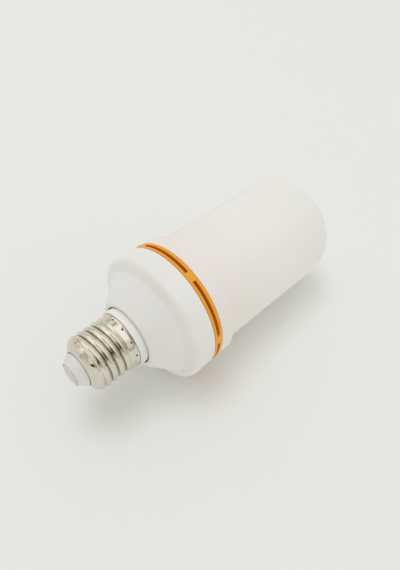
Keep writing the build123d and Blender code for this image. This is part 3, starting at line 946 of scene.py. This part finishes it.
# A painted shadow line runs along the rim's edge, where it sits on the sleeve.
rim_shadow_mask = rings(nickel, *any_radius, z_rim - past_end, z_rim + 0.18)
valley_shade_brown, crimp_shade_brown, rim_shadow_brown = linear(104, 92, 74), linear(64, 54, 44), linear(110, 98, 82)
tint(nickel, valley_shade_mask, valley_shade_brown, 0.9)
tint(nickel, crimp_shade_mask, crimp_shade_brown, 0.95)
tint(nickel, rim_shadow_mask, rim_shadow_brown, 0.9)
print("the valleys' shade ends at radius", round(root_radius + 0.32, 2))

# %% [markdown]
# ## The frosted finish
# The drum's wall is frosted plastic, which lets some light in and scatters it. Real transmission would show
# the lamp core inside, and the photo shows none of it, so a little scattering under the surface does. The
# head is cooler, a warm blush grows towards the ring, and the edge gets a painted grey shade where the eye
# looks along the thick of the wall.

# %% Frosted diffuser
head_fade = (34, 4)
blush_fade = (40, z_ring)
# The edge values drive a painted grey shade along the drum's outline, where its wall is seen edge-on.
edge_shade_fade = (0.78, 1.0)


def diffuser_material():
    """Frosted plastic with three soft masks, each rising from 0 to 1 between two values of its own."""
    material = finish_material(
        "frosted_translucent_plastic", linear(242, 239, 235), linear(239, 236, 231), 14.0, (0.5, 0.08),
        (1800.0, 0.03), Subsurface_Weight=0.12, Subsurface_Scale=0.002,
    )
    tree = material.node_tree
    place = add(tree, "TexCoord")
    split = add(tree, "SeparateXYZ")
    wire(tree, (place, "Object", split, "Vector"))
    edge = fill(add(tree, "LayerWeight"), Blend=0.5)
    for source, output, fade, unit, colour, amount in (
        (split, "Z", head_fade, MM, linear(236, 237, 232), 0.6),
        (split, "Z", blush_fade, MM, linear(226, 206, 188), 0.2),
        (edge, "Facing", edge_shade_fade, 1, linear(226, 220, 208), 0.5),
    ):
        mask = add(tree, "MapRange", interpolation_type="SMOOTHSTEP")
        fill(mask, From_Min=fade[0] * unit, From_Max=fade[1] * unit)
        wire(tree, (source, output, mask, "Value"))
        tint(material, mask.outputs["Result"], colour, amount)
    return material


wear(diffuser, diffuser_material())

# %% [markdown]
# ## Finishes inside
# The lamp core and the driver are shut in behind the diffuser and the housing. They could be left grey, but
# a part that is opened or cut shows them, so each gets the look of its own stuff: white solder mask, amber
# phosphor, green board, bare can, ferrite and insulated wire. They keep their CAD meshes. Each row below
# holds two tones, the roughness with its swing, and how metallic the stuff is.

# %% Inner finishes
inner_drift = 150.0
inner_grain = (2500.0, 0.05)
inner_finishes = {
    "plate_metal": (linear(205, 205, 204), linear(190, 190, 190), (0.35, 0.1), 1.0),
    "screw_steel": (linear(190, 188, 182), linear(170, 168, 160), (0.3, 0.1), 1.0),
    "former_white": (linear(232, 231, 226), linear(225, 223, 217), (0.5, 0.1), 0.0),
    "flex_board": (linear(236, 234, 224), linear(226, 223, 210), (0.45, 0.1), 0.0),
    "led_amber": (linear(240, 190, 70), linear(230, 170, 50), (0.25, 0.08), 0.0),
    "circuit_board": (linear(42, 98, 58), linear(34, 84, 48), (0.35, 0.1), 0.0),
    "capacitor_can": (linear(196, 198, 202), linear(182, 184, 188), (0.28, 0.1), 1.0),
    "ferrite_black": (linear(44, 44, 45), linear(34, 34, 35), (0.6, 0.1), 0.0),
    "film_yellow": (linear(214, 170, 62), linear(204, 158, 50), (0.35, 0.1), 0.0),
    "resistor_green": (linear(92, 138, 104), linear(78, 124, 92), (0.5, 0.1), 0.0),
    "chip_black": (linear(30, 30, 31), linear(22, 22, 23), (0.5, 0.1), 0.0),
    "sensor_grey": (linear(96, 96, 100), linear(84, 84, 88), (0.45, 0.1), 0.0),
    "lead_red": (linear(178, 34, 26), linear(164, 28, 22), (0.35, 0.08), 0.0),
    "lead_black": (linear(28, 28, 29), linear(22, 22, 23), (0.35, 0.08), 0.0),
}
made = {
    slot: finish_material("inner_" + slot, first, second, inner_drift, rough, inner_grain, Metallic=metallic)
    for slot, (first, second, rough, metallic) in inner_finishes.items()
}
slot_of = {part["node"]: part["material_slot"] for part in frame["record"]["subparts"]}
inner_nodes = [node for node in frame["nodes"] if slot_of[node] in made]
for node in inner_nodes:
    wear(frame["nodes"][node], made[slot_of[node]])
print("nodes finished inside:", len(inner_nodes))

# %% [markdown]
# ## The table
# The bulb could be turned to lie on a level floor, but CAD pieces never move. So in the bulb's own frame
# the table is a slanted plane that touches the diffuser's skirt and its head, and the camera is slanted
# with it. The table is see-through from below and throws no shadow, so other views are not blocked by it.

# %% Table
table_normal = Vector((0.54563, -0.83686, 0.04421)).normalized()
table_height = -27.61 * MM
table_reach = 3.0
table_middle = Vector((0, 0, 75 * MM))


def table_plane():
    """Square plane of the points p with p . table_normal = table_height, under the bulb's middle."""
    turn = table_normal.to_track_quat("Z", "Y").to_matrix()
    centre = table_middle + table_normal * (table_height - table_middle.dot(table_normal))
    corners = [(-1, -1), (1, -1), (1, 1), (-1, 1)]
    points = [centre + turn @ Vector((x, y, 0)) * table_reach for x, y in corners]
    mesh = bpy.data.meshes.new("pale_table")
    mesh.from_pydata([tuple(point) for point in points], [], [(0, 1, 2, 3)])
    plane = bpy.data.objects.new("pale_table", mesh)
    bpy.context.scene.collection.objects.link(plane)
    print("table", 2 * table_reach, "m across,", round(-table_height / MM, 2), "mm from the axis")
    return plane


def table_material():
    """Matt pale surface, transparent when it is seen from behind."""
    material = finish_material(
        "pale_table_top", linear(240, 241, 238), linear(239, 240, 237), 3.0, (0.7, 0.05), (600.0, 0.01),
        Specular_IOR_Level=0.2,
    )
    tree = material.node_tree
    side = add(tree, "NewGeometry")
    clear = add(tree, "BsdfTransparent")
    either = add(tree, "MixShader")
    wire(
        tree,
        (side, "Backfacing", either, "Fac"),
        (tree.nodes["Principled BSDF"], "BSDF", either, 1),
        (clear, "BSDF", either, 2),
        (either, "Shader", tree.nodes["Material Output"], "Surface"),
    )
    return material


table_top = table_plane()
wear(table_top, table_material())
table_top.visible_shadow = False

# %% [markdown]
# ## The camera
# The photo was taken from the cap's side, above the table. A camera could be aimed by hand, but here its
# place, its three axes and its focal length were worked out from the photo's outlines of the bulb, so the
# render lies on the photo. The focal length is in pixels of the photo's frame, whose longer side is its
# height, and the sensor's width stands for that side.

# %% Camera
camera_right = Vector((-0.56966, -0.40907, -0.71284))
camera_up = Vector((0.82188, -0.28354, -0.49409))
camera_back = Vector((0.0, -0.86733, 0.49773))
camera_place = Vector((0.02, -209.05, 195.84)) * MM
focal_pixels = 492.0
frame_height = 570.0
sensor_mm = 36.0
camera_data = bpy.data.cameras.new("camera")
camera_data.sensor_width = sensor_mm
camera_data.lens = focal_pixels / frame_height * sensor_mm
camera_data.clip_start = 0.01
camera_data.clip_end = 20.0
camera = bpy.data.objects.new("camera", camera_data)
bpy.context.scene.collection.objects.link(camera)
axes = Matrix((camera_right, camera_up, camera_back)).transposed()
camera.matrix_world = Matrix.Translation(camera_place) @ axes.to_4x4()
bpy.context.scene.camera = camera
bpy.context.scene.view_settings.view_transform = "Standard"
print("lens:", round(camera_data.lens, 1), "mm on a sensor of", sensor_mm)

# %% [markdown]
# ## The soft light
# The photo's shadow is soft and falls down and to the right, so one large light stands nearly over the
# table, up and to the left. Several small lamps would give several shadows. It stands far off, so that it
# lights the table evenly, and reflections don't see it, because its square shape isn't in the photo's
# metal.

# %% Key light
picture_left = Vector((0.57, 0.41, 0.71))
picture_up = Vector((0.82, -0.28, -0.49))
bulb_middle = Vector((0, 0, 80 * MM))


def soft_light(name, along, distance, size, energy, colour):
    """Square area light at that distance from the bulb's middle, facing it."""
    data = bpy.data.lights.new(name, "AREA")
    data.size = size
    data.energy = energy
    data.color = colour
    lamp = bpy.data.objects.new(name, data)
    bpy.context.scene.collection.objects.link(lamp)
    way = along.normalized()
    lamp.location = bulb_middle + way * distance
    lamp.rotation_mode = "QUATERNION"
    lamp.rotation_quaternion = way.to_track_quat("Z", "Y")
    print(name, "at", distance, "m, size", size, "m, watts", energy)
    return lamp


key_way = table_normal * 0.96 + picture_left * 0.13 + picture_up * 0.2
key_light = soft_light("key_light", key_way, 2.4, 1.1, 11.0, (0.94, 0.98, 1.05))
key_light.visible_glossy = False

# %% [markdown]
# ## The room
# A plain grey world would light the bulb well enough, but bright nickel shows whatever stands round it. So
# there are two rooms. The one that gives light is pale and even, a little dimmer below the table and
# beyond the cap. The one that reflections see is livelier: pale walls that drift to beige, broad soft
# whites over the bulb, a brown patch, and narrow dark shapes where the camera and its holder stood. Both
# are worked out from the looked-at direction alone, and all colours mix with soft edges.

# %% Helpers for the room
world = bpy.data.worlds.new("pale_room")
bpy.context.scene.world = world
world.use_nodes = True
room = world.node_tree
room.nodes.clear()
looked_at = add(room, "TexCoord").outputs["Generated"]


def feed(socket, value):
    """Sets a socket to a number or a colour, or joins it to another node's output."""
    if isinstance(value, (int, float, tuple)):
        socket.default_value = value
    else:
        room.links.new(value, socket)


def ramp(value, low, high):
    """Smooth 0 to 1 between low and high, or 1 to 0 where low is the larger."""
    node = fill(add(room, "MapRange", interpolation_type="SMOOTHSTEP"), From_Min=low, From_Max=high)
    feed(node.inputs["Value"], value)
    return node.outputs["Result"]


def toward(direction):
    """Cosine of the angle between the looked-at direction and this one."""
    node = add(room, "VectorMath", operation="DOT_PRODUCT")
    feed(node.inputs[0], looked_at)
    feed(node.inputs[1], tuple(Vector(direction).normalized()))
    return node.outputs["Value"]


def maths(operation, first, second=0):
    """One maths node between two values or sockets."""
    node = add(room, "Math", operation=operation)
    feed(node.inputs[0], first)
    feed(node.inputs[1], second)
    return node.outputs["Value"]


def times(product, *others):
    """Product of values or sockets."""
    for value in others:
        product = maths("MULTIPLY", product, value)
    return product


def over(under, colour, mask):
    """under + (colour - under) * mask, where under is a colour or a socket."""
    node = add(room, "Mix", data_type="RGBA")
    feed(node.inputs["A"], under)
    feed(node.inputs["B"], colour)
    feed(node.inputs["Factor"], mask)
    return node.outputs["Result"]


def patch(direction, edge, core, amount=1.0):
    """Round soft patch: amount inside the core's cosine, 0 outside the edge's."""
    return times(ramp(toward(direction), edge, core), amount)


def stripes(value, rate, low, high):
    """Soft stripes: sin(rate * value) taken from 0 to 1 between low and high."""
    return ramp(maths("SINE", times(value, rate)), low, high)


print("helpers ready for soft shapes in the room")

# %% The room that gives light
floor_grey = linear(214, 210, 200)
sky_white = linear(241, 240, 236)
cap_side_grey = linear(216, 214, 210)
room_strength = 0.89
along_axis = toward((0, 0, 1))
light_room = over(floor_grey, sky_white, ramp(toward(table_normal), -0.5, 0.1))
light_room = over(light_room, cap_side_grey, ramp(along_axis, 0.35, 1.0))
print("the room's strength:", room_strength)

# %% Pale walls and soft whites, as reflections see them
wall_pale = linear(236, 234, 225)
wall_beige = linear(166, 155, 136)
lamp_white = (1.14, 1.13, 1.10, 1.0)
drift = fill(add(room, "TexNoise"), Scale=3.2, Detail=2.0)
feed(drift.inputs["Vector"], looked_at)
beige = times(ramp(drift.outputs["Fac"], 0.48, 0.62), 0.75)
over_bulb = patch((0.37, -0.90, -0.20), 0.72, 0.90)
beside_bulb = patch((0.78, -0.25, 0.55), 0.86, 0.97)
small_glow = patch((0.55, -0.05, 0.83), 0.965, 0.99, 0.8)
whites = maths("MAXIMUM", maths("MAXIMUM", over_bulb, beside_bulb), small_glow)
mirrored = over(over(wall_pale, wall_beige, beige), lamp_white, whites)
print("brightest part of the mirrored room:", max(lamp_white))

# %% Darker shapes, as reflections see them
patch_brown = linear(134, 112, 88)
line_brown = linear(110, 94, 74)
holder_dark = linear(46, 32, 22)
brown_patch = patch((0.30, -0.08, 0.95), 0.97, 0.995, 0.4)
aside = maths("ABSOLUTE", toward((0.930, -0.368, 0)))
lines = times(
    ramp(along_axis, -0.4, -0.1), ramp(along_axis, 0.84, 0.74), ramp(aside, 0.95, 0.3),
    stripes(along_axis, 24.0, 0.0, 0.8), 0.8,
)
holder = times(
    ramp(along_axis, 0.1, 0.3), ramp(along_axis, 0.96, 0.90), ramp(aside, 0.36, 0.14),
    stripes(along_axis, 19.0, -0.6, 0.2),
)
lens_spot = patch((-0.20, -0.10, 0.97), 0.9905, 0.9955)
mirrored = over(mirrored, patch_brown, brown_patch)
mirrored = over(mirrored, line_brown, lines)
mirrored = over(mirrored, holder_dark, maths("MAXIMUM", holder, lens_spot))
print("nodes in the room so far:", len(room.nodes))

# %% Both rooms together
light_giver = fill(add(room, "Background"), Strength=room_strength)
mirror_giver = add(room, "Background")
ray = add(room, "LightPath")
either_room = add(room, "MixShader")
feed(light_giver.inputs["Color"], light_room)
feed(mirror_giver.inputs["Color"], mirrored)
wire(
    room,
    (ray, "Is Glossy Ray", either_room, "Fac"),
    (light_giver, "Background", either_room, 1),
    (mirror_giver, "Background", either_room, 2),
    (either_room, "Shader", add(room, "OutputWorld"), "Surface"),
)
print("nodes in the room:", len(room.nodes))
